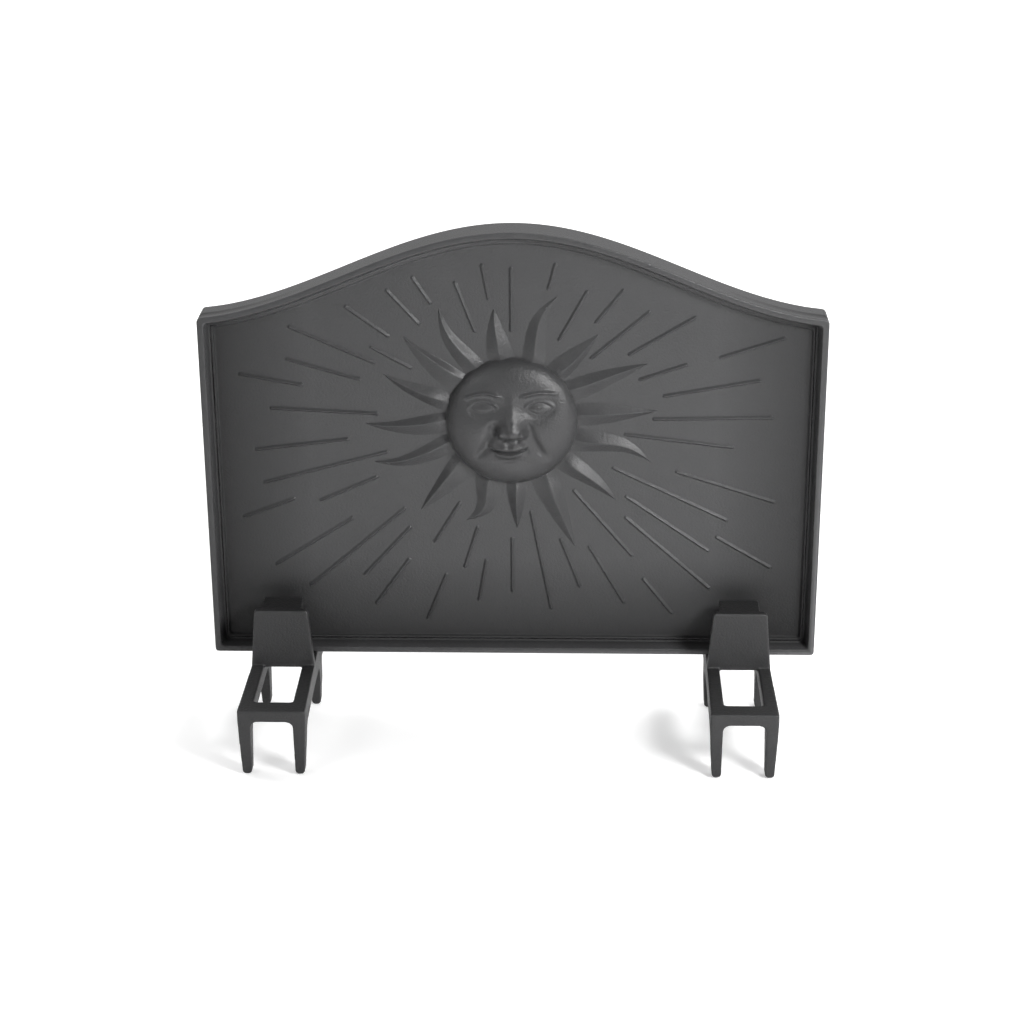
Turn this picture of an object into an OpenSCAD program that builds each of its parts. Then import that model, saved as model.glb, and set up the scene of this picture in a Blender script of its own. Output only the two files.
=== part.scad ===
// Cast-iron fireback: a rimmed sunburst plate that stands loose in two cast feet.
// Lengths are in millimetres and angles in degrees. X runs along the plate, Y from
// front to back and Z up. The origin is on the hearth, under the middle of the whole.

/* [Plate] */
// Width across the straight sides
plate_w = 610; // [520:1:760]
// Height at the two shoulders
shoulder_h = 355.5; // [330:0.5:420]
// Height at the top of the arch
apex_h = 441.5; // [430:0.5:520]
// Part of a full cosine wave that half the top edge follows
ogee_sweep = 167; // [130:1:178]
// Depth of the rim from its front face to its back face
rim_depth = 38; // [32:0.5:50]
// Width of the rim's front face
rim_face = 6.3; // [4.5:0.1:10]
// Width of the rim's back face
rim_back = 8; // [5:0.5:10]
// Radius of the plate's four outer corners
corner_r = 4.5; // [3:0.5:12]
// Radius of the rim's inner corners
inner_corner_r = 3.5; // [2:0.5:10]
// Rounding of the rim's edges
edge_r = 1.5; // [0.5:0.1:2]

/* [Field] */
// Depth of the field below the rim's front face
field_drop = 14.5; // [12:0.5:18]
// Thickness of the web that carries the relief
web_t = 9; // [6:0.5:12]
// Width of the narrow ledge along the foot of the rim's wall
ledge_w = 4.3; // [2:0.1:8]
// Height of the ledge above the field
ledge_h = 3; // [1:0.5:5]
// Draft of the rim's front wall from its top to the ledge
front_draft = 3.3; // [1:0.1:5]
// Draft of the rim's wall behind the web
back_draft = 2.5; // [1:0.1:5]

/* [Sun] */
// Radius of the face
sun_r = 65; // [50:1:75]
// Height of the face's centre above the plate's bottom edge
sun_h = 247; // [215:1:270]
// Distance of the face's centre from the middle, to the left
sun_left = 1; // [0:0.5:10]
// Height of the dome over the field
dome_h = 20; // [14:0.5:24]
// Height of the nose over the dome
nose_h = 9; // [5:0.5:11]
// Depth of the scallops along the hairline
scallop = 0.8; // [0:0.1:3]
// Height of a ray's ridge where it leaves the face
ray_h = 8; // [4:0.5:11]
// Width of a raised stroke
stroke_w = 6.4; // [3:0.1:8]
// Height of a raised stroke
stroke_h = 2.9; // [1.5:0.1:4]

/* [Foot] */
// Height of the deck that the plate stands on
deck_h = 70; // [62:1:90]
// Thickness of the deck and of the bar across the front
deck_t = 12; // [9:0.5:16]
// Width over the front of the foot
foot_w_front = 66.5; // [60:0.5:80]
// Width over the rear of the foot
foot_w_rear = 63.6; // [60:0.5:80]
// Depth of the side rails
rail_h = 22; // [16:0.5:28]
// Rounding of the frame's corners
foot_r = 2; // [0.5:0.5:3]
// Distance from the front of the foot to the upright
upright_y = 102.5; // [90:0.5:125]
// Distance from the plate's left end to the middle of the left foot
foot_left_in = 73; // [55:1:150]
// Distance from the plate's right end to the middle of the right foot
foot_right_in = 78; // [55:1:150]

/* [Foot opening] */
// Width of the opening in the frame
opening_w = 38.5; // [30:0.5:42]
// Width of the bar in front of the opening
front_bar = 21.3; // [15:0.1:28]
// Width of the bar behind the opening, under the plate
rear_bar = 30; // [22:0.5:40]
// Radius of the opening's corners
opening_r = 3; // [1:0.5:6]

/* [Upright] */
// Height of the upright above the deck
upright_h = 60; // [45:1:65]
// Depth to which the upright and its lug are rooted between the rails
upright_root = 2.5; // [1.5:0.5:6]
// Thickness of the upright
upright_t = 8; // [6:0.5:12]
// Width of the upright at its top
upright_w_top = 53.4; // [42:0.1:60]
// Radius of the upright's top corners
upright_r = 3.5; // [1:0.5:8]
// Overlap of the lug behind the upright on each rail
lug_seat = 0.5; // [0.5:0.5:6]
// Rise of the lug's rough top towards the plate
lug_rise = 2; // [0:0.5:4]

/* [Slot for the plate] */
// Gap between the lug and the plate's front face
front_gap = 0.5; // [0.3:0.1:2]
// Gap between the plate's back face and the rear lip
rear_gap = 2; // [0.5:0.5:4]
// Distance from the upright's front face to the lug's rear face
lug_reach = 30.5; // [24:0.5:36]
// Height of the rear lip above the deck
lip_h = 16; // [10:1:24]
// Thickness of the rear lip
lip_t = 8; // [6:0.5:12]

/* [Legs] */
// Width of a leg under the frame, seen from the front
leg_w_top = 12.5; // [11:0.1:14]
// Width of a leg at the hearth, seen from the front
leg_w_foot = 9.2; // [8.5:0.1:12]
// Inward lean of a leg's outer side, from the frame to the hearth
leg_lean = 2.8; // [0:0.1:4]
// Depth of a leg under the rail, seen from the side
leg_d_top = 23; // [18:0.5:28]
// Depth of a leg at the hearth, seen from the side
leg_d_foot = 13; // [12:0.5:16]
// Lean of the front leg's front face
front_lean = 1.5; // [0:0.1:4]
// Lean of the rear leg's back face
rear_lean = 2.5; // [0:0.1:5]
// Distance from the front of the foot to the back of the rear legs
leg_span = 168; // [150:1:172]
// Rounding of a leg's toe, seen from the front
toe_r = 3.1; // [1:0.1:3.5]
// Fillet between the legs and the front bar
bar_fillet = 6.5; // [2:0.5:9]
// Fillet between the legs and the side rails
rail_fillet = 9; // [2:0.5:12]

/* [Hidden] */
iron = [0.27, 0.27, 0.28];
foot_iron = [0.24, 0.24, 0.25];

// Places that follow from the sizes above
plate_y = upright_y + lug_reach + front_gap;
foot_len = plate_y + rim_depth + rear_gap + lip_t;
middle_y = foot_len / 2;
ledge_y = field_drop - ledge_h;
wall_in = rim_face + front_draft;
ledge_in = wall_in + ledge_w;
field_in = ledge_in + ledge_h / 4;
web_back = field_drop + web_t;
back_in = rim_back + back_draft;
lug_w = opening_w + 2 * lug_seat;
recess_fillet = 2;
sink = 1;          // how far the relief is rooted in the field

corner_steps = 4;  // segments in a rounded corner
top_steps = 48;    // segments along the top edge

// ---- curves ----

function unit(v) = v / norm(v);
function turned(v, a) = [v[0] * cos(a) - v[1] * sin(a), v[0] * sin(a) + v[1] * cos(a)];

// The arc that rounds corner b of the path a, b, c to radius r
function corner_arc(a, b, c, r) =
    let (
        to_a = unit(a - b),
        to_c = unit(c - b),
        half = acos(to_a * to_c) / 2,
        centre = b + unit(to_a + to_c) * r / sin(half),
        start = b + to_a * r / tan(half) - centre,
        side = sign(to_a[0] * to_c[1] - to_a[1] * to_c[0])
    )
    [for (i = [0:corner_steps]) centre + turned(start, -side * (180 - 2 * half) * i / corner_steps)];

// A closed outline from rows of [x, y, corner radius]
function outline(rows) = [
    for (i = [0:len(rows) - 1])
        let (
            n = len(rows),
            a = rows[(i + n - 1) % n],
            b = rows[i],
            c = rows[(i + 1) % n]
        )
        each b[2] > 0
            ? corner_arc([a[0], a[1]], [b[0], b[1]], [c[0], c[1]], b[2])
            : [[b[0], b[1]]]
];

// The two triangles of a four-cornered patch
function quad(a, b, c, d) = [[a, d, c], [a, c, b]];

// A solid through rings of equal length, each seen turning left from its last ring's side
module loft(rings) {
    n = len(rings[0]);
    last = len(rings) - 1;
    polyhedron(
        points = [for (ring = rings) each ring],
        faces = concat(
            [[for (j = [0:n - 1]) j]],
            [for (i = [0:last - 1], j = [0:n - 1])
                each quad(i * n + j, i * n + (j + 1) % n, (i + 1) * n + (j + 1) % n, (i + 1) * n + j)],
            [[for (j = [0:n - 1]) last * n + (n - j) % n]]
        )
    );
}

// ---- plate ----

// Height and slope of the ogee top edge, x from the middle
function wave(x) = ogee_sweep * x / (plate_w / 2);
function top_z(x) = shoulder_h
    + (apex_h - shoulder_h) * (cos(wave(x)) - cos(ogee_sweep)) / (1 - cos(ogee_sweep));
function top_tilt(x) = atan(
    (apex_h - shoulder_h) * sin(wave(x)) / (1 - cos(ogee_sweep)) * ogee_sweep / (plate_w / 2) * PI / 180
);
function top_point(x, inset) = [x - inset * sin(top_tilt(x)), top_z(x) - inset * cos(top_tilt(x))];

// One ring of the plate: the outline moved in by inset, at depth y, with corners of radius r
function plate_ring(inset, y, r) =
    let (
        corner_x = plate_w / 2 - inset - r,
        last_x = corner_x + (inset + r) * sin(top_tilt(corner_x)),
        tilt = top_tilt(last_x),
        shoulder_z = top_point(last_x, inset + r)[1],
        right = concat(
            [for (i = [0:corner_steps]) [corner_x, inset + r] + r * turned([0, -1], 90 * i / corner_steps)],
            [for (i = [0:corner_steps])
                [corner_x, shoulder_z] + r * turned([1, 0], (90 - tilt) * i / corner_steps)]
        ),
        top = [for (i = [1:top_steps - 1]) top_point(last_x * (1 - 2 * i / top_steps), inset)],
        left = [for (i = [len(right) - 1:-1:0]) [-right[i][0], right[i][1]]]
    )
    [for (p = concat([[0, inset]], right, top, left)) [p[0], y, p[1]]];

module plate_casting() {
    bevel = 0.3 * edge_r;
    loft([
        plate_ring(back_in + recess_fillet, web_back, inner_corner_r),
        plate_ring(back_in, web_back + recess_fillet, inner_corner_r),
        plate_ring(rim_back + bevel, rim_depth - edge_r, inner_corner_r),
        plate_ring(rim_back - edge_r, rim_depth, inner_corner_r),
        plate_ring(edge_r, rim_depth, corner_r - edge_r),
        plate_ring(bevel, rim_depth - bevel, corner_r - bevel),
        plate_ring(0, rim_depth - edge_r, corner_r),
        plate_ring(0, edge_r, corner_r),
        plate_ring(bevel, bevel, corner_r - bevel),
        plate_ring(edge_r, 0, corner_r - edge_r),
        plate_ring(rim_face - edge_r, 0, inner_corner_r),
        plate_ring(rim_face - bevel, bevel, inner_corner_r),
        plate_ring(rim_face, edge_r, inner_corner_r),
        plate_ring(wall_in, ledge_y, inner_corner_r),
        plate_ring(ledge_in, ledge_y, inner_corner_r),
        plate_ring(field_in, field_drop, inner_corner_r)
    ]);
}

// ---- sun ----
// The face is drawn in face radii: x to the side from the nose, z up from the centre.
// Each feature adds its height to the dome, as a share of the nose's height.

dome_power = 2.6;
eye_at = [0.42, 0.27];
brow_r = 0.27;
nose_top = 0.44;
nose_tip = -0.02;
mouth_z = -0.37;

function bump(d, s) = exp(-(d / s) * (d / s));
function spot(x, z, cx, cz, sx, sz) = bump(x - cx, sx) * bump(z - cz, sz);
function ramp(v, a, b) = let (t = max(0, min(1, (v - a) / (b - a)))) t * t * (3 - 2 * t);

function brow(x, z) =
    let (d = norm([x - eye_at[0], z - eye_at[1]]))
    0.29 * bump(d - brow_r, 0.05) * ramp(z, eye_at[1], eye_at[1] + 0.16);
function eye(x, z) =
    0.38 * spot(x, z, eye_at[0], eye_at[1], 0.14, 0.075)
    - 0.51 * spot(x, z, eye_at[0], eye_at[1], 0.24, 0.17);
function nose(x, z) =
    let (grow = ramp(z, nose_top, nose_tip))
    (0.22 + 0.78 * grow) * bump(x, 0.07 + 0.05 * grow) * ramp(z, nose_tip - 0.12, nose_tip)
        * ramp(z, nose_top + 0.1, nose_top - 0.05)
    + 0.44 * spot(x, z, 0.14, nose_tip - 0.03, 0.06, 0.07);
function cheek(x, z) = 0.33 * spot(x, z, 0.55, -0.18, 0.28, 0.26);
function fold(x, z) =
    let (line = 0.19 + 0.3 * ramp(z, -0.02, -0.62))
    -0.29 * bump(x - line, 0.06) * ramp(z, -0.62, -0.4) * ramp(z, 0.04, -0.12);
function lips(x, z) =
    0.29 * spot(x, z, 0.07, mouth_z + 0.06, 0.13, 0.05)
    + 0.33 * spot(x, z, 0, mouth_z - 0.08, 0.14, 0.055)
    - 0.27 * spot(x, z, 0, mouth_z - 0.01, 0.24, 0.028);
function chin(x, z) = 0.33 * spot(x, z, 0, -0.7, 0.22, 0.13) - 0.22 * spot(x, z, 0, -0.55, 0.2, 0.05);

function face_height(x, z) =
    let (t = norm([x, z]), s = abs(x))
    dome_h * sqrt(1 - pow(t, dome_power))
    + nose_h * (brow(s, z) + eye(s, z) + nose(s, z) + cheek(s, z) + fold(s, z) + lips(s, z) + chin(s, z))
        * ramp(t, 1, 0.85);

// The rays and strokes are listed for a face with a radius of 65 and grow with it
burst = sun_r / 65;

// Rays, clockwise from the top: [angles of the left edge, ridge and right edge at the face,
// angle and reach of the tip, sideways bow]
rays = [
    [-20.5, -9, 2.4, -8.3, 116.5, -1.5], [8, 19, 29, 19.3, 135, -8], [31, 43.5, 51, 43.3, 123, 1],
    [51.5, 60, 72.5, 65.9, 146, -1], [73.5, 84, 95.5, 85.6, 143.6, 0], [96, 107, 118, 107.1, 144, -8],
    [118.5, 128, 138.5, 128.7, 133, -2], [139.5, 149.5, 164, 154.8, 148, 0],
    [167.6, 176.5, 185.3, 177.4, 114.5, 0], [187, 200.8, 213, 203.3, 115.4, -9],
    [214.5, 231.5, 238.5, 223.9, 132, 0], [239, 250.5, 257, 252.3, 143.1, -6],
    [257.5, 270.5, 277.3, 268.6, 144, -3], [278.3, 287.5, 295.8, 290.9, 134, -2],
    [296.3, 312, 316.8, 309.4, 136.6, -1.5], [317.3, 328.5, 335.8, 328.7, 135.2, -6]
];
ray_count = len(rays);
ray_steps = 10;
face_rings = 22;
tip_w = 0.8;       // width and height left at a ray's tip
ray_belly = 0.7;   // how much fuller than a straight taper a ray is
bow_skew = 1.35;   // how far a bow's crest lies towards the tip
rise = [0, 0.45, 1, 0.45, 0];   // section of a ray from its right side over the ridge to its left
spread = [1, 0.5, 0, -0.5, -1];

// Angles of the five points of ray i at the face's edge
function root_angles(i) = [for (s = spread) rays[i][1] + abs(s) * (rays[i][1 + sign(s)] - rays[i][1])];
function compass(a) = [sin(a), cos(a)];

// Radius of the face's edge, with the scalloped hairline over its top half
function edge_radius(a) = sun_r + scallop * max(0, cos(a)) * abs(sin(5 * (a + 14)));

// A point of the face: direction a, on the ray's section at q, ring k from the edge inwards
function face_point(a, q, k) =
    let (
        edge = pow(1 - pow(rise[q] * ray_h / dome_h, 2), 1 / dome_power),
        share = edge * sin(90 * (1 - k / (face_rings + 0.3))),
        p = compass(a) * share
    )
    [
        p[0] * edge_radius(a),
        k == 0 && rise[q] == 0 ? sink : -face_height(p[0], p[1]),
        p[1] * edge_radius(a)
    ];

// A point of ray i at step k from the face to the tip
function ray_point(i, q, k) =
    let (
        s = k / ray_steps,
        taper = (1 - s) * (1 + ray_belly * s),
        start = compass(rays[i][1]) * sun_r,
        end = compass(rays[i][3]) * burst * rays[i][4],
        line = unit(end - start),
        root_w = sun_r * sin(root_angles(i)[q] - rays[i][1]),
        across = burst * rays[i][5] * sin(180 * pow(s, bow_skew)) + root_w * taper + spread[q] * tip_w / 2,
        p = start + (end - start) * s + across * [line[1], -line[0]]
    )
    [p[0], rise[q] == 0 ? sink : -rise[q] * (tip_w + ray_h * taper), p[1]];

// The face and its rays are one skin: the rays spring from the outermost ring of the face
module sun() {
    n = 5 * ray_count;
    order = [for (i = [ray_count - 1:-1:0]) i];
    // index of point q at step k of the ray in place r, where step 0 is the face's edge
    function at(r, q, k) = k == 0 ? 5 * r + q : n * (face_rings + 1) + 5 * (ray_steps * r + k - 1) + q;
    polyhedron(
        points = concat(
            [for (k = [0:face_rings], i = order, q = [0:4]) face_point(root_angles(i)[q], q, k)],
            [for (i = order, k = [1:ray_steps], q = [0:4]) ray_point(i, q, k)]
        ),
        faces = concat(
            [for (k = [0:face_rings - 1], j = [0:n - 1])
                each quad(k * n + j, k * n + (j + 1) % n, (k + 1) * n + (j + 1) % n, (k + 1) * n + j)],
            [[for (j = [0:n - 1]) face_rings * n + (n - j) % n]],
            [[for (r = [0:ray_count - 1]) each [at(r, 0, 0), at(r, 4, 0)]]],
            [for (r = [0:ray_count - 1], k = [0:ray_steps - 1], q = [0:3])
                each quad(at(r, q, k + 1), at(r, q, k), at(r, q + 1, k), at(r, q + 1, k + 1))],
            [for (r = [0:ray_count - 1], k = [0:ray_steps - 1])
                each quad(at(r, 4, k), at(r, 0, k), at(r, 0, k + 1), at(r, 4, k + 1))],
            [for (r = [0:ray_count - 1]) [for (q = [0:4]) at(r, q, ray_steps)]]
        )
    );
}

// Strokes, clockwise from the top: [angle, radius of the inner end, radius of the outer end]
strokes = [
    [15, 138, 167], [29, 94, 153], [39, 129, 174], [50, 100, 176], [59, 132, 209],
    [71, 131, 182], [72, 212, 280], [80, 150, 248], [89, 138, 257], [97, 111, 221],
    [108, 170, 276], [116, 110, 240], [121, 237, 304], [125, 137, 242], [132, 151, 269],
    [140, 94, 189], [142, 213, 264], [150, 153, 227], [159, 134, 192], [169, 97, 208],
    [180, 124, 185], [190, 150, 198], [197, 117, 166], [202, 177, 233], [211, 100, 153],
    [215, 180, 243], [222, 152, 225], [229, 141, 273], [237, 190, 286], [246, 146, 211],
    [249, 232, 290], [255, 126, 257], [263, 162, 257], [273, 131, 236], [281, 207, 270],
    [286, 153, 230], [294, 145, 236], [299, 111, 158], [306, 146, 200], [318, 132, 181],
    [327, 142, 176], [339, 97, 153], [350, 125, 163], [0, 91, 157]
];

module stroke(from, to) {
    hull()
        for (z = [from, to])
            translate([0, sink, z])
                rotate([90, 0, 0])
                    cylinder(h = stroke_h + sink, r1 = 0.6 * stroke_w, r2 = stroke_w / 8, $fn = 8);
}

module sunburst() {
    sun();
    for (s = strokes)
        rotate([0, s[0], 0]) stroke(burst * s[1], burst * s[2]);
}

module fireback_plate() {
    color(iron)
        translate([0, plate_y - middle_y, deck_h])
            union() {
                plate_casting();
                translate([-sun_left, field_drop, sun_h]) sunburst();
            }
}

// ---- foot ----

// Extrudes an outline of [across, up] from front to back, and of [along, up] from side to side
module along_y(length) { translate([0, length, 0]) rotate([90, 0, 0]) linear_extrude(length) children(); }
module across_x(width) {
    rotate([90, 0, 90]) translate([0, 0, -width / 2]) linear_extrude(width) children();
}

module frame_plan() {
    front = foot_w_front / 2;
    rear = foot_w_rear / 2;
    difference() {
        polygon(outline([
            [-front, 0, foot_r], [front, 0, foot_r], [rear, upright_y, 0],
            [rear, foot_len, foot_r], [-rear, foot_len, foot_r], [-rear, upright_y, 0]
        ]));
        polygon(outline([
            [-opening_w / 2, front_bar, opening_r], [opening_w / 2, front_bar, opening_r],
            [opening_w / 2, foot_len - rear_bar, opening_r],
            [-opening_w / 2, foot_len - rear_bar, opening_r]
        ]));
    }
}

// Seen from the front: the bar with a leg at each end
module front_profile() {
    half = foot_w_front / 2;
    toe = half - leg_lean;
    polygon(outline([
        [-half, deck_h, 0], [-half, deck_h - deck_t, 0],
        [-toe, 0, toe_r], [leg_w_foot - toe, 0, toe_r],
        [leg_w_top - half, deck_h - deck_t, bar_fillet], [half - leg_w_top, deck_h - deck_t, bar_fillet],
        [toe - leg_w_foot, 0, toe_r], [toe, 0, toe_r],
        [half, deck_h - deck_t, 0], [half, deck_h, 0]
    ]));
}

// Seen from the side: the rail with a tapered leg near each end
module side_profile() {
    under = deck_h - rail_h;
    heel = leg_span - rear_lean;
    polygon(outline([
        [0, deck_h, 0], [0, under, 0],
        [front_lean, 0, toe_r], [front_lean + leg_d_foot, 0, toe_r],
        [leg_d_top, under, rail_fillet], [leg_span - leg_d_top, under, rail_fillet],
        [heel - leg_d_foot, 0, toe_r], [heel, 0, toe_r],
        [leg_span, under, foot_r], [foot_len, under, foot_r], [foot_len, deck_h, 0]
    ]));
}

module frame() {
    intersection() {
        linear_extrude(deck_h) frame_plan();
        along_y(foot_len) front_profile();
        across_x(foot_w_front + foot_w_rear) side_profile();
    }
}

// The upright's face, narrower at the top, with the lug that backs it against the plate
module upright() {
    top = deck_h + upright_h;
    half = foot_w_rear / 2;
    translate([0, upright_y, 0])
        along_y(upright_t)
            polygon(outline([
                [-half, deck_h - upright_root, 0], [half, deck_h - upright_root, 0], [half, deck_h, 0],
                [upright_w_top / 2, top, upright_r], [-upright_w_top / 2, top, upright_r], [-half, deck_h, 0]
            ]));
    across_x(lug_w)
        polygon([
            [upright_y + upright_t / 2, deck_h - upright_root],
            [upright_y + lug_reach, deck_h - upright_root],
            [upright_y + lug_reach, top + lug_rise],
            [upright_y + upright_t, top],
            [upright_y + upright_t / 2, top]
        ]);
}

// The low lip that keeps the plate from sliding off the back of the deck
module rear_lip() {
    across_x(foot_w_rear)
        polygon(outline([
            [foot_len - lip_t, deck_h - deck_t / 2, 0], [foot_len, deck_h - deck_t / 2, 0],
            [foot_len, deck_h + lip_h, foot_r], [foot_len - lip_t, deck_h + lip_h, foot_r]
        ]));
}

module foot() {
    color(foot_iron)
        union() {
            frame();
            upright();
            rear_lip();
        }
}

module foot_left() { translate([foot_left_in - plate_w / 2, -middle_y, 0]) foot(); }
module foot_right() { translate([plate_w / 2 - foot_right_in, -middle_y, 0]) foot(); }

fireback_plate();
foot_left();
foot_right();
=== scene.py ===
from math import cos, pi, radians, sin

import bmesh
import bpy
import numpy as np
from mathutils import Matrix, Vector


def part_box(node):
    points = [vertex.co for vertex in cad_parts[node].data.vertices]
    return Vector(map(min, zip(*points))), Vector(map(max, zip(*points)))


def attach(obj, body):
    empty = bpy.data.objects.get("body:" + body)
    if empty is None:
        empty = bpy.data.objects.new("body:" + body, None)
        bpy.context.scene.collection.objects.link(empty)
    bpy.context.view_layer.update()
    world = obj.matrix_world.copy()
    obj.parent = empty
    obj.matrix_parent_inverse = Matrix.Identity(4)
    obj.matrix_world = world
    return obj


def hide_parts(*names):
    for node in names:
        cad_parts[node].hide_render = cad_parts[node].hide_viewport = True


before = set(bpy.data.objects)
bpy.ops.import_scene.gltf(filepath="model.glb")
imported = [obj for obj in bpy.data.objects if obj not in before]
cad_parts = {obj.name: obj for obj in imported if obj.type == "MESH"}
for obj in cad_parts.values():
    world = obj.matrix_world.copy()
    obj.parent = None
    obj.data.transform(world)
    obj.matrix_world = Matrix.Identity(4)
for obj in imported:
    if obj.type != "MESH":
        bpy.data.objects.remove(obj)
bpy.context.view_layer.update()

# ---- camera ----
# The fireback is seen from the front and from above, a little to the right of its middle,
# through a long lens. The numbers come from a camera fitted to the corners of the rim and feet.
camera_place = (0.0634, -2.0886, 1.0977)
camera_turn = radians(1.725)      # to the left of straight ahead
camera_dip = radians(22.239)      # below the horizon
camera_roll = radians(-0.33)

bpy.ops.object.select_all(action="DESELECT")
bpy.ops.object.camera_add()
camera = bpy.context.object
camera.data.sensor_width = 36
camera.data.lens = 81.49
camera.data.clip_end = 100
camera.matrix_world = (
    Matrix.Translation(camera_place)
    @ Matrix.Rotation(camera_turn, 4, "Z")
    @ Matrix.Rotation(pi / 2 - camera_dip, 4, "X")
    @ Matrix.Rotation(camera_roll, 4, "Z")
)
bpy.context.scene.camera = camera


# ---- studio ----
# White paper under the fireback and white space behind it, a softbox at each front and rear corner
# and a wide one overhead, and a spotlight straight down on the paper in front, which throws light
# up on the field. The space above the camera stays dark, which draws the relief.
class Maths:
    """A socket of a shader, with Python's operators standing for Math nodes."""

    def __init__(self, tree, socket):
        self.tree = tree
        self.socket = socket

    def node(self, kind, settings=None, **inputs):
        """Adds a node of a kind, sets its settings and then the values or links of its sockets."""
        node = self.tree.nodes.new("ShaderNode" + kind)
        for name, value in (settings or {}).items():
            setattr(node, name, value)
        for name, value in inputs.items():
            place = int(name[1:]) if name[0] == "_" else name.replace("_", " ")
            if isinstance(value, Maths):
                self.tree.links.new(value.socket, node.inputs[place])
            else:
                node.inputs[place].default_value = value
        return node

    def out(self, kind, output=0, settings=None, **inputs):
        """Adds a node and gives one of its outputs."""
        return Maths(self.tree, self.node(kind, settings, **inputs).outputs[output])

    def maths(self, operation, *values):
        numbered = {f"_{place}": value for place, value in enumerate(values)}
        return self.out("Math", settings={"operation": operation}, **numbered)

    def __add__(self, other):
        return self.maths("ADD", self, other)

    def __radd__(self, other):
        return self.maths("ADD", other, self)

    def __sub__(self, other):
        return self.maths("SUBTRACT", self, other)

    def __rsub__(self, other):
        return self.maths("SUBTRACT", other, self)

    def __mul__(self, other):
        return self.maths("MULTIPLY", self, other)

    def __rmul__(self, other):
        return self.maths("MULTIPLY", other, self)

    def __abs__(self):
        return self.maths("ABSOLUTE", self)

    def between(self, low, high):
        """0 below low, 1 above high and a straight rise between them."""
        return self.out("MapRange", Value=self, From_Min=low, From_Max=high)

    def axis(self, letter):
        """One of the three numbers of a vector."""
        return self.out("SeparateXYZ", letter, Vector=self)


def blank(owner):
    """An emptied node tree, as the start of a chain of maths."""
    owner.use_nodes = True
    owner.node_tree.nodes.clear()
    return Maths(owner.node_tree, None)


sweep_white = (0.86, 0.86, 0.86, 1)
sweep_size = 40
near_glow = 0.4                   # the paper's own glow close to the fireback
full_glow = (0.8, 2.2)            # metres from the middle between which it rises to 1
mirror_glow = 0.5                 # the glow that the iron mirrors of the paper behind it
mirror_rise = (0.3, 1.7)          # metres behind the middle between which that one rises
white = (1, 1, 1, 1)

bpy.ops.mesh.primitive_plane_add(size=sweep_size, location=(0, 0, 0))
sweep = bpy.context.object
sweep.name = "sweep"
paper = bpy.data.materials.new("white_paper")
nodes = blank(paper)
viewed = nodes.out("LightPath", "Is Camera Ray")
mirrored = nodes.out("LightPath", "Is Glossy Ray")
matt = nodes.out("BsdfDiffuse", Color=sweep_white)
place = nodes.out("TexCoord", "Object")
distance = nodes.out("VectorMath", "Value", settings={"operation": "LENGTH"}, _0=place)
glow_viewed = viewed * (near_glow + distance.between(*full_glow) * (1 - near_glow))
glow_mirrored = mirrored * place.axis("Y").between(*mirror_rise) * mirror_glow
lift = nodes.out("Emission", Color=white, Strength=glow_viewed + glow_mirrored)
both = nodes.out("AddShader", _0=matt, _1=lift)
mixed = nodes.out("MixShader", _0=viewed + mirrored, _1=matt, _2=both)
nodes.node("OutputMaterial", Surface=mixed)
sweep.data.materials.append(paper)

front_light = 0.06                # light of the space above and behind the camera
rear_light = 0.5                  # and how much more comes from behind the fireback
rear_rise = (-0.35, 0.45)         # backward part of a direction between which that rises
world = bpy.data.worlds.new("studio")
bpy.context.scene.world = world
nodes = blank(world)
behind = nodes.out("TexCoord", "Generated").axis("Y").between(*rear_rise)
seen = nodes.out("LightPath", "Is Camera Ray")
strength = seen + (1 - seen) * (front_light + behind * rear_light)
sky = nodes.out("Background", Color=white, Strength=strength)
nodes.node("OutputWorld", Surface=sky)


def hang_lamp(kind, name, place, aim, watts):
    """Adds a lamp at a place, facing the point it is aimed at."""
    bpy.ops.object.light_add(type=kind, location=place)
    lamp = bpy.context.object
    lamp.name = name
    lamp.data.energy = watts
    lamp.rotation_euler = (Vector(place) - Vector(aim)).to_track_quat("Z", "Y").to_euler()
    return lamp


def softbox(name, place, aim, width, height, watts):
    """A rectangular lamp."""
    lamp = hang_lamp("AREA", name, place, aim, watts)
    lamp.data.shape = "RECTANGLE"
    lamp.data.size = width
    lamp.data.size_y = height


middle = (0, 0, 0.3)
softbox("softbox_right", (1.0, -0.9, 1.0), middle, 0.4, 0.4, 22)
softbox("softbox_left", (-1.1, -0.85, 1.1), middle, 0.5, 0.5, 4)
softbox("softbox_right_rear", (1.6, 0.75, 0.9), middle, 0.8, 0.8, 10)
softbox("softbox_left_rear", (-1.6, 0.75, 0.9), middle, 0.8, 0.8, 10)
softbox("softbox_above", (0.1, 0.8, 2.2), (0, 0.4, 0), 2.4, 1.4, 21)

bounce_spot = hang_lamp("SPOT", "bounce_spot", (0.03, -0.68, 2.0), (0.03, -0.68, 0), 250)
bounce_spot.data.spot_size = radians(27)
bounce_spot.data.spot_blend = 0.9
bounce_spot.data.shadow_soft_size = 0.12

bpy.context.scene.view_settings.view_transform = "Standard"


# ---- plate ----
# The back of the hearth: one iron casting with an arched top, a deep rim all round and a flat field
# that the relief stands on. It is sand cast, and its rim keeps it stiff against the fire.
mm = 0.001
hair = 0.01 * mm                  # places closer than this are the same
square_on = 0.9                   # part of a normal along an axis that its face looks along
leaning = 0.7                     # and of one that its face looks along more or less
plate_low, plate_high = (Vector(corner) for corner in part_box("fireback_plate"))
plate_width = plate_high.x - plate_low.x
half_width = plate_width / 2
plate_base = plate_low.z
plate_back = plate_high.y
apex = plate_high.z - plate_base
shoulder = 355.5 * mm
ogee_sweep = radians(167)         # the part of a full wave that half the top edge follows
top_cuts = 96
straight_end = 17 * mm            # the top edge runs straight this far in from each corner

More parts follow.
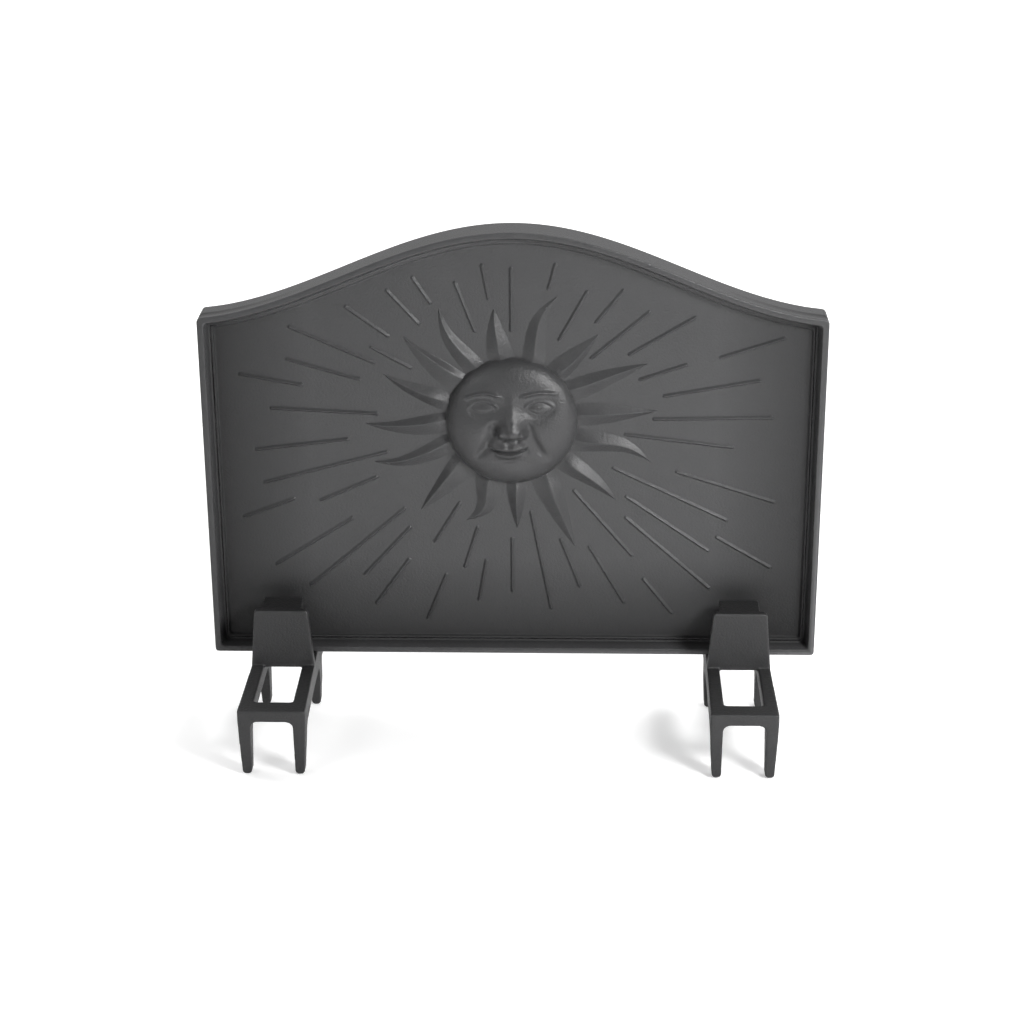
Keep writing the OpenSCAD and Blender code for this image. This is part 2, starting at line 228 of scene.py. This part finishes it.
rim_depth = 38 * mm
rim_face = 6.3 * mm
wall_draft = 3.3 * mm
ledge_depth = 11.5 * mm
ledge_width = 4.3 * mm
ledge_drop = 3 * mm
ledge_draft = 0.75 * mm
back_rim = 8 * mm
back_draft = 2.5 * mm
back_depth = 14.5 * mm
outer_corner = 4.5 * mm
inner_corner = 3.5 * mm
corner_steps = 8
rim_round = 1.5 * mm
ledge_round = 1.4 * mm
sharp = radians(40)               # edges that turn by more than this are rounded
plate_front = plate_back - rim_depth
field_place = plate_front + ledge_depth + ledge_drop


def top_height(x):
    """Height of the arched top edge above the plate's bottom edge."""
    wave = ogee_sweep * x / half_width
    return shoulder + (apex - shoulder) * (cos(wave) - cos(ogee_sweep)) / (1 - cos(ogee_sweep))


def choose(kind, test):
    """In edit mode, selects the faces, edges or vertices of the piece that pass a test."""
    bpy.ops.mesh.select_mode(type=kind)
    bpy.ops.mesh.select_all(action="DESELECT")
    mesh = bmesh.from_edit_mesh(bpy.context.object.data)
    mesh.normal_update()
    for part in {"VERT": mesh.verts, "EDGE": mesh.edges, "FACE": mesh.faces}[kind]:
        part.select_set(test(part))
    bmesh.update_edit_mesh(bpy.context.object.data)


def faces_front(face):
    return face.normal.y < -square_on


def faces_back(face):
    return face.normal.y > square_on


def joins_side_and_top(edge):
    """True if the edge joins an upright side of the plate to its top or bottom side."""
    if len(edge.link_faces) != 2:
        return False
    one, other = (face.normal for face in edge.link_faces)
    return any(
        abs(side.x) > leaning and abs(top.z) > leaning
        for side, top in ((one, other), (other, one))
    )


def edge_place(edge):
    return (edge.verts[0].co + edge.verts[1].co) / 2


bpy.ops.object.select_all(action="DESELECT")
bpy.ops.mesh.primitive_grid_add(
    x_subdivisions=top_cuts, y_subdivisions=1, size=1,
    location=(0, plate_back, plate_base + shoulder / 2), rotation=(pi / 2, 0, 0),
)
plate = bpy.context.object
plate.name = "plate_casting"
plate.scale = (plate_width, shoulder, 1)
bpy.ops.object.transform_apply(location=True, rotation=True, scale=True)
for vertex in plate.data.vertices:
    if vertex.co.z > plate_base + shoulder / 2:
        vertex.co.z = plate_base + top_height(vertex.co.x)

bpy.ops.object.mode_set(mode="EDIT")
bpy.ops.mesh.select_all(action="SELECT")
bpy.ops.mesh.dissolve_faces()
choose("VERT", lambda end: abs(end.co.x) < half_width - mm and (
    end.co.z < plate_base + mm or abs(end.co.x) > half_width - straight_end))
bpy.ops.mesh.dissolve_verts()
bpy.ops.mesh.select_all(action="SELECT")
bpy.ops.mesh.extrude_region_move(TRANSFORM_OT_translate={"value": (0, -rim_depth, 0)})
bpy.ops.mesh.select_all(action="SELECT")
bpy.ops.mesh.normals_make_consistent(inside=False)
choose("FACE", faces_front)
bpy.ops.mesh.inset(thickness=rim_face)
bpy.ops.mesh.inset(thickness=wall_draft, depth=-ledge_depth)
bpy.ops.mesh.inset(thickness=ledge_width)
bpy.ops.mesh.inset(thickness=ledge_draft, depth=-ledge_drop)
choose("FACE", faces_back)
bpy.ops.mesh.inset(thickness=back_rim)
bpy.ops.mesh.inset(thickness=back_draft, depth=-back_depth)
for radius, outside in ((outer_corner, True), (inner_corner, False)):
    choose("EDGE", lambda edge: joins_side_and_top(edge) and (
        abs(abs(edge_place(edge).x) - half_width) < 0.1 * mm) == outside)
    bpy.ops.mesh.bevel(offset=radius, segments=corner_steps, affect="EDGES")


def on_rim(edge):
    """True along the sharp edges of the rim's front and back faces."""
    flat = all(
        min(abs(end.co.y - plane) for plane in (plate_front, plate_back)) < hair
        for end in edge.verts
    )
    return flat and edge.is_manifold and edge.calc_face_angle() > sharp


def on_ledge(edge):
    """True along the sharp edges at the foot of the rim's walls."""
    level = abs(edge.verts[0].co.y - edge.verts[1].co.y) < hair
    inside = plate_front + mm < edge_place(edge).y < plate_back - mm
    return level and inside and edge.is_manifold and edge.calc_face_angle() > sharp


for radius, steps, test in ((rim_round, 3, on_rim), (ledge_round, 4, on_ledge)):
    choose("EDGE", test)
    bpy.ops.mesh.bevel(offset=radius, segments=steps, affect="EDGES")
bpy.ops.mesh.select_all(action="SELECT")
bpy.ops.mesh.normals_make_consistent(inside=False)
bpy.ops.object.mode_set(mode="OBJECT")


def pick(*pieces):
    """Selects these pieces alone and makes the first of them active."""
    bpy.ops.object.select_all(action="DESELECT")
    for piece in pieces:
        piece.select_set(True)
    bpy.context.view_layer.objects.active = pieces[0]


def modify(piece, kind, **settings):
    """Adds a modifier to the active piece, sets it and applies it."""
    bpy.ops.object.modifier_add(type=kind)
    modifier = piece.modifiers[-1]
    for name, value in settings.items():
        setattr(modifier, name, value)
    bpy.ops.object.modifier_apply(modifier=modifier.name)


pick(plate)
bpy.ops.object.shade_smooth()
modify(plate, "WEIGHTED_NORMAL")
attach(plate, "plate")
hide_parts("fireback_plate")


def cast_iron(name, grey, sheen, grit, blotch, top_darkening, painted_shade):
    """Black-grey cast iron: a grainy sand-cast skin, a little blotchy, darker on its level tops,
    with painted shade and a duller skin low down and along the sides of the plate's recess."""
    tops = (0.55, 0.95)           # upward part of the normal between which a face is a level top
    edges = (0.53, 0.6)           # pointiness between which an edge gets a painted highlight and wear
    painted_shade_sides = (0.2, 0.31)     # metres to the side between which the painted shade deepens
    painted_shade_height = (0.06, 0.17)   # metres above the hearth between which the painted shade fades out
    pit_shade, edge_highlight_gain, blue = 0.12, 1.2, 1.03
    cloud_dull, grain_dull, top_dulling, painted_shade_dull, worn_polish = 0.16, 0.1, 0.3, 0.35, 0.08
    grain_height, pit_height = 0.35, 0.8
    material = bpy.data.materials.new(name)
    nodes = blank(material)
    place = nodes.out("TexCoord", "Object")
    grain = nodes.out("TexNoise", "Fac", Vector=place, Scale=1400.0, Detail=3.0, Roughness=0.6)
    pits = nodes.out("TexNoise", "Fac", Vector=place, Scale=420.0, Detail=2.0, Roughness=0.5)
    cloud = nodes.out("TexNoise", "Fac", Vector=place, Scale=11.0, Detail=3.0, Roughness=0.55)
    # level tops are made darker and duller
    top = nodes.out("TexCoord", "Normal").axis("Z").between(*tops)
    # painted highlight, with some wear, along the convex edges: lighter and glossier
    wear_and_highlight = nodes.out("NewGeometry", "Pointiness").between(*edges)
    # painted shade: darker and duller towards the sides and the bottom of the plate's recess
    behind_rim = place.axis("Y").between(plate_front + 4 * mm, field_place - 2 * mm)
    behind_field = place.axis("Y").between(field_place + mm, field_place + 4 * mm)
    unshaded_side = 1 - abs(place.axis("X")).between(*painted_shade_sides)
    unshaded = unshaded_side * place.axis("Z").between(*painted_shade_height)
    painted_shade_mask = behind_rim * (1 - behind_field) * (1 - unshaded) * painted_shade

    shade = 1 + (cloud - 0.5) * blotch + (pits - 0.5) * pit_shade
    shade = shade * (1 - top * top_darkening) * (1 + wear_and_highlight * edge_highlight_gain) * (1 - painted_shade_mask)
    colour = nodes.out(
        "CombineColor", Red=shade * grey, Green=shade * grey, Blue=shade * (grey * blue))
    dull = sheen + (cloud - 0.5) * cloud_dull + (grain - 0.5) * grain_dull
    dull = dull + top * (top_darkening * top_dulling) - wear_and_highlight * worn_polish + painted_shade_mask * painted_shade_dull
    height = grain * grain_height + pits * pit_height
    relief = nodes.out("Bump", Height=height, Strength=1.0, Distance=grit)
    skin = nodes.out(
        "BsdfPrincipled", Base_Color=colour, Roughness=dull, Normal=relief, Specular_IOR_Level=0.5)
    nodes.node("OutputMaterial", Surface=skin)
    return material


plate_iron = cast_iron(
    "plate_iron", grey=0.053, sheen=0.37, grit=0.55 * mm, blotch=0.25, top_darkening=0.1, painted_shade=0.8)
plate.data.materials.append(plate_iron)


# ---- strokes of light ----
# Forty-four thin raised bars that stream out from the sun over the field, cast in one with it.
# Each is a low ridge with round ends and a soft foot where the sand left a fillet.
sun_place = Vector((-1 * mm, field_place, plate_base + 247 * mm))
stroke_half = 2.1 * mm
stroke_height = 1.7 * mm
stroke_sides = 20                 # sides of the cone that both round ends are made from
stroke_crown = 0.16               # radius of its top as a share of its foot
crown_inset = 0.07                # the top's own small step inwards, as a share of the foot
crown_step = 0.02                 # and upwards, as a share of the height
stroke_flare = 1.2                # widening of the foot under the field's surface
sink = 0.2 * mm                   # how far the foot of the relief lies under the field's surface
strokes = (
    (15, 138, 167), (29, 94, 153), (39, 129, 174), (50, 100, 176), (59, 132, 209),
    (71, 131, 182), (72, 212, 280), (80, 150, 248), (89, 138, 257), (97, 111, 221),
    (108, 170, 276), (116, 110, 240), (121, 237, 304), (125, 137, 242), (132, 151, 269),
    (140, 94, 189), (142, 213, 264), (150, 153, 227), (159, 134, 192), (169, 97, 208),
    (180, 124, 185), (190, 150, 198), (197, 117, 166), (202, 177, 233), (211, 100, 153),
    (215, 180, 243), (222, 152, 225), (229, 141, 273), (237, 190, 286), (246, 146, 211),
    (249, 232, 290), (255, 126, 257), (263, 162, 257), (273, 131, 239), (280.1, 207, 272),
    (286, 153, 230), (294, 145, 238), (299, 111, 158), (306, 146, 200), (318, 132, 181),
    (327, 142, 176), (339, 97, 153), (350, 125, 163), (0, 91, 157),
)                                 # clockwise angle from the top, inner and outer end in mm

bpy.ops.object.select_all(action="DESELECT")
bpy.ops.mesh.primitive_cone_add(
    vertices=stroke_sides, radius1=stroke_half, radius2=stroke_crown * stroke_half,
    depth=stroke_height, location=(0, -stroke_height / 2, 0), rotation=(pi / 2, 0, 0),
)
stroke = bpy.context.object
bpy.ops.object.transform_apply(location=True, rotation=True, scale=True)
bpy.ops.object.mode_set(mode="EDIT")
choose("FACE", faces_front)
bpy.ops.mesh.inset(thickness=crown_inset * stroke_half, depth=crown_step * stroke_height)
choose("FACE", faces_back)
bpy.ops.mesh.extrude_region_move(TRANSFORM_OT_translate={"value": (0, sink, 0)})
bpy.ops.transform.resize(value=(stroke_flare, 1, stroke_flare))
bpy.ops.object.mode_set(mode="OBJECT")
modify(stroke, "SUBSURF", levels=2, render_levels=2)
bpy.ops.object.shade_smooth()
bars = []
for angle, inner, outer in strokes:
    bar = stroke.copy()
    bar.data = stroke.data.copy()
    bpy.context.collection.objects.link(bar)
    for vertex in bar.data.vertices:
        end = outer * mm - stroke_half if vertex.co.z > 0 else inner * mm + stroke_half
        vertex.co.z += end
    bar.data.transform(Matrix.Translation(sun_place) @ Matrix.Rotation(radians(angle), 4, "Y"))
    bars.append(bar)
bpy.data.objects.remove(stroke)
pick(*bars)
bpy.ops.object.join()
strokes_of_light = bpy.context.object
strokes_of_light.name = "strokes_of_light"
strokes_of_light.data.materials.append(plate_iron)
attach(strokes_of_light, "plate")
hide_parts("fireback_plate")


# ---- rays ----
# Sixteen ridged flames that spring side by side from under the sun's face, some straight and some
# wavy, cast in one with the plate. Each has one sharp ridge and two plain slopes, and a fine tip.
face_radius = 65.2 * mm
root_depth = 6 * mm               # how far a ray runs in under the face's edge
root_share = 0.4                  # height of a ray's root as a share of its full height
root_rise = 3                     # the full height is reached at one part in this of the length
root_steep, tip_steep = 80, 40    # how fast the height falls to nothing at the two ends
ridge_height = 7 * mm             # height of a ray's ridge where it leaves the face
ridge_soft = 0.09                 # rounding of the ridge and the foot as a share of the half width
foot_reach = 1.2                  # the mesh runs on past a ray's edges, under the field
tip_reach = 1.01                  # and past its tip
tip_width = 0.8 * mm
ray_belly = 0.7                   # how much fuller than a straight taper a ray is
bow_skew = 1.35                   # how far a bow's crest lies towards the tip
rays = (
    (-20.5, -9, 2.4, -8.3, 116.5, -1.5), (8, 19, 29, 19.3, 135, -8),
    (31, 43.5, 51, 43.3, 123, 1), (51.5, 60, 72.5, 65.9, 146, -1),
    (73.5, 84, 95.5, 85.6, 143.6, 0), (96, 107, 118, 107.1, 144, -8),
    (118.5, 128, 138.5, 128.7, 133, -2), (139.5, 149.5, 164, 154.8, 148, 0),
    (167.6, 176.5, 185.3, 177.4, 114.5, 0), (187, 200.8, 213, 203.3, 115.4, -9),
    (214.5, 231.5, 238.5, 223.9, 132, 0), (239, 250.5, 257, 252.3, 143.1, -6),
    (257.5, 270.5, 277.3, 268.6, 144, -3), (278.3, 287.5, 295.8, 290.9, 134, -2),
    (296.3, 312, 316.8, 309.4, 136.6, -1.5), (317.3, 328.5, 335.8, 328.7, 135.2, -6),
)   # angles of the left edge, the ridge, the right edge and the tip, reach and sideways bow in mm


def compass(angle):
    """Unit vector in the field, clockwise from straight up."""
    return np.array([sin(radians(angle)), cos(radians(angle))])


def smooth_tent(across, soft):
    """1 at 0, falling straight to 0 at 1, with a soft ridge and a soft foot beyond it."""
    down = 1 - np.sqrt(across ** 2 + (0.6 * soft) ** 2)
    return (down + np.sqrt(down ** 2 + soft ** 2)) / 2


def places(piece):
    """The places of a piece's vertices, as one row of x, y, z, x, y, z and so on."""
    row = np.empty(len(piece.data.vertices) * 3)
    piece.data.vertices.foreach_get("co", row)
    return row


ray_pieces = []
for left_edge, ridge, right_edge, tip_angle, reach, bow in rays:
    bpy.ops.mesh.primitive_grid_add(x_subdivisions=36, y_subdivisions=80, size=2)
    ray = bpy.context.object
    row = places(ray)
    start = compass(ridge) * face_radius
    end = compass(tip_angle) * reach * mm
    length = np.linalg.norm(end - start)
    line = (end - start) / length
    side = np.array([line[1], -line[0]])
    root = -root_depth / length
    across = row[0::3] * foot_reach
    along = root + (row[1::3] + 1) / 2 * (tip_reach - root)

    taper = np.clip(1 - along, 0, 1) * (1 + ray_belly * np.maximum(along, 0))
    right, left = sin(radians(right_edge - ridge)), sin(radians(ridge - left_edge))
    half = np.where(across > 0, right, left) * face_radius * taper + tip_width / 2
    sideways = bow * mm * np.sin(pi * np.clip(along, 0, 1) ** bow_skew) + half * across
    height = (tip_width + ridge_height * taper) * smooth_tent(np.abs(across), ridge_soft)
    tip_end = np.clip((tip_reach - along) * tip_steep, 0, 1) ** 0.5
    swell = np.sin(pi / 2 * np.clip(along * root_rise, 0, 1))
    spring = root_share + (1 - root_share) * swell
    root_end = np.clip((along - root) * root_steep, 0, 1)

    row[0::3] = start[0] + (end - start)[0] * along + side[0] * sideways + sun_place.x
    row[1::3] = sun_place.y - height * tip_end * spring * root_end + sink
    row[2::3] = start[1] + (end - start)[1] * along + side[1] * sideways + sun_place.z
    ray.data.vertices.foreach_set("co", row)
    ray_pieces.append(ray)
pick(*ray_pieces)
bpy.ops.object.join()
sun_rays = bpy.context.object
sun_rays.name = "sun_rays"


def close_below(piece):
    """Closes the open underside of a relief, smooths its shading and ties it to the plate."""
    pick(piece)
    bpy.ops.object.mode_set(mode="EDIT")
    bpy.ops.mesh.select_all(action="SELECT")
    bpy.ops.mesh.fill_holes(sides=0)
    bpy.ops.mesh.select_all(action="SELECT")
    bpy.ops.mesh.normals_make_consistent(inside=False)
    bpy.ops.object.mode_set(mode="OBJECT")
    bpy.ops.object.shade_smooth_by_angle(angle=radians(60))
    piece.data.materials.append(plate_iron)
    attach(piece, "plate")
    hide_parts("fireback_plate")


close_below(sun_rays)


# ---- sun face ----
# A domed face in the middle of the rays, with brows, lidded eyes, nose, lips and round cheeks, and
# an edge that is a little uneven over its forehead. It is the boldest part of the iron casting.
# Its features are hills and hollows in mm, placed in shares of the face's radius from its middle.
dome_height = 16 * mm
wall_height = 5 * mm              # the dome stands on a short upright wall
wall_power = 20
slow_fall, fast_fall = 0.55, 0.45   # parts of the dome that fall with the 2nd and the 8th power
plain_edge = 0.85                 # the features fade out from here to the edge
face_cuts = 280
edge_waves = ((-43, 9, 0.006), (-23, 5, 0.003), (-9, 7, -0.005), (2, 4, 0.004), (13, 6, -0.004),
              (29, 6, 0.006), (54, 7, 0.005))   # angle and width in degrees, rise as a share


def bump(away, width):
    """A rounded hill of height 1 where away is 0."""
    return np.exp(-(away / width) ** 2)


def hill(x, z, at_x, at_z, wide, tall):
    return bump(x - at_x, wide) * bump(z - at_z, tall)


def ramp(value, low, high):
    """0 at low, 1 at high and a soft rise between them."""
    share = np.clip((value - low) / (high - low), 0, 1)
    return share * share * (3 - 2 * share)


def arc(x, half):
    """1 in the middle and falling round to 0 at half a width away."""
    return np.sqrt(np.clip(1 - (x / half) ** 2, 0, 1))


def brow(x, z):
    """A thin arched ridge over each eye, with the hollow of the socket under it."""
    away = np.abs(x)
    line = 0.53 - 0.6 * (away - 0.45) ** 2 - 0.06 * ramp(-x, 0.35, 0.75)
    ends = ramp(away, 0.1, 0.22) * ramp(away, 0.74, 0.6)
    socket = hill(away, z, at_x=0.42, at_z=0.3, wide=0.23, tall=0.16)
    return 2.3 * bump(z - line, 0.028) * ends - 4.8 * socket


def eye(x, z):
    """An almond ball with a lid above it and a soft bag below."""
    across, up = np.abs(x) - 0.425, z - 0.283
    ball = np.clip(1 - (across / 0.17) ** 2 - (up / (0.085 - 1.1 * across ** 2)) ** 2, 0, 1)
    bow = np.clip(1 - (across / 0.25) ** 2, 0, 1)
    lid = 1.6 * bump(up - 0.1 * bow - 0.01, 0.032) * ramp(bow, 0, 0.5)
    bag = -0.6 * bump(up + 0.14 * bow + 0.01, 0.05) * ramp(bow, 0, 0.5)
    return 3.2 * ball + lid + bag


def nose(x, z):
    """A ridge that widens downwards to a round tip, with a wing and a nostril on each side."""
    grow = ramp(z, 0.4, -0.04)
    ridge = (1.2 + 7.2 * grow) * bump(x - 0.01, 0.08 + 0.08 * grow)
    ridge = ridge * ramp(z, -0.22, -0.1) * ramp(z, 0.6, 0.4)
    tip = 2.8 * hill(x, z, at_x=0.02, at_z=-0.05, wide=0.13, tall=0.1)
    wings = 7.0 * hill(np.abs(x), z, at_x=0.175, at_z=-0.075, wide=0.07, tall=0.065)
    nostrils = -2.2 * hill(np.abs(x), z, at_x=0.1, at_z=-0.2, wide=0.05, tall=0.032)
    return ridge + tip + wings + nostrils


def mouth(x, z):
    """Two full lips on a low muzzle, which meet in a line with raised corners."""
    across = x + 0.045
    parting = -0.405 + 0.75 * across ** 2
    muzzle = 2.4 * hill(across, z, at_x=0, at_z=-0.36, wide=0.28, tall=0.2)
    halves = bump(np.abs(across) - 0.08, 0.09)
    upper_line = z - parting - 0.075 + 0.1 * np.abs(across)
    upper = (1.6 + 1.4 * halves) * bump(upper_line, 0.045) * arc(across, 0.3)
    lower = 2.0 * bump(z - parting + 0.05, 0.038) * arc(across, 0.2)
    line = -2.6 * bump(z - parting, 0.02) * ramp(np.abs(across), 0.31, 0.24)
    corner = -1.6 * hill(np.abs(across), z, at_x=0.29, at_z=-0.37, wide=0.05, tall=0.06)
    groove = -1.0 * bump(across, 0.04) * ramp(z, -0.36, -0.3) * ramp(z, -0.16, -0.22)
    return muzzle + upper + lower + line + corner + groove


def cheeks(x, z):
    """Round cheeks, with a fold that runs out and down from each side of the nose."""
    fall = 0.06 - z
    fold = 0.24 + 0.2 * fall + 0.46 * fall ** 2
    groove = bump(np.abs(x) - fold, 0.085) * ramp(z, -0.6, -0.36) * ramp(z, 0.14, -0.02)
    ball = hill(np.abs(x), z, at_x=0.56, at_z=-0.13, wide=0.28, tall=0.32)
    return 2.2 * ball - 3.8 * groove


def chin(x, z):
    """A low chin with a short hollow between it and the lower lip."""
    ball = 1.2 * hill(x, z, at_x=0, at_z=-0.72, wide=0.25, tall=0.12)
    return ball - 1.3 * hill(x, z, at_x=-0.04, at_z=-0.545, wide=0.2, tall=0.036)


bpy.ops.object.select_all(action="DESELECT")
bpy.ops.mesh.primitive_grid_add(x_subdivisions=face_cuts, y_subdivisions=face_cuts, size=2)
face = bpy.context.object
face.name = "sun_face"
row = places(face)
u, v = row[0::3].copy(), row[1::3].copy()
x, z = u * np.sqrt(1 - v ** 2 / 2), v * np.sqrt(1 - u ** 2 / 2)
out = np.minimum(np.hypot(x, z), 1)
dome = dome_height * (1 - slow_fall * out ** 2 - fast_fall * out ** 8)
wall = wall_height * np.sqrt(1 - out ** wall_power)
features = sum(part(x, z) for part in (brow, eye, nose, mouth, cheeks, chin)) * mm
rise = dome + wall + features * ramp(out, 1, plain_edge)
around = np.degrees(np.arctan2(x, z))
waves = sum(height * bump(around - angle, width) for angle, width, height in edge_waves)
ragged = 1 + waves * out ** 8
row[0::3] = sun_place.x + x * face_radius * ragged
row[1::3] = sun_place.y - rise + sink
row[2::3] = sun_place.z + z * face_radius * ragged
face.data.vertices.foreach_set("co", row)
close_below(face)


# ---- feet ----
# Two castings from one pattern that the plate stands in: an open frame on four tapered legs, with
# an upright whose lug holds the plate. They are sand cast like the plate, and a little rougher.
foot_iron = cast_iron(
    "foot_iron", grey=0.034, sheen=0.44, grit=0.7 * mm, blotch=0.3, top_darkening=0.55, painted_shade=0)
foot_voxel = 0.95 * mm
toe_round = 4.6 * mm              # the toes are nearly half-round where they meet the hearth
toe_share = 0.15                  # width of a toe on the hearth as a share of the leg's
same_place = 0.001 * mm
for side in ("left", "right"):
    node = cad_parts["foot_" + side]
    casting = bpy.data.objects.new(side + "_foot_casting", node.data.copy())
    bpy.context.collection.objects.link(casting)
    pick(casting)
    bpy.ops.object.mode_set(mode="EDIT")
    bpy.ops.mesh.select_all(action="SELECT")
    bpy.ops.mesh.remove_doubles(threshold=same_place)
    bpy.ops.object.mode_set(mode="OBJECT")
    modify(casting, "REMESH", mode="VOXEL", voxel_size=foot_voxel)
    modify(casting, "SMOOTH", factor=0.5, iterations=5)

    row = places(casting)
    x, y, z = row[0::3], row[1::3], row[2::3]
    middle_x, middle_y = (x.min() + x.max()) / 2, (y.min() + y.max()) / 2
    rounded = np.sqrt(1 - np.clip(1 - z / toe_round, 0, 1) ** 2)
    narrow = toe_share + (1 - toe_share) * rounded
    for half in (x < middle_x, x > middle_x):
        for end in (y < middle_y, y > middle_y):
            toe = half & end & (z < toe_round)
            centre = (x[toe].min() + x[toe].max()) / 2
            x[toe] = centre + (x[toe] - centre) * narrow[toe]
    casting.data.vertices.foreach_set("co", row)
    bpy.ops.object.shade_smooth()
    casting.data.materials.clear()
    casting.data.materials.append(foot_iron)
    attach(casting, "foot_" + side)
    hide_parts("foot_" + side)
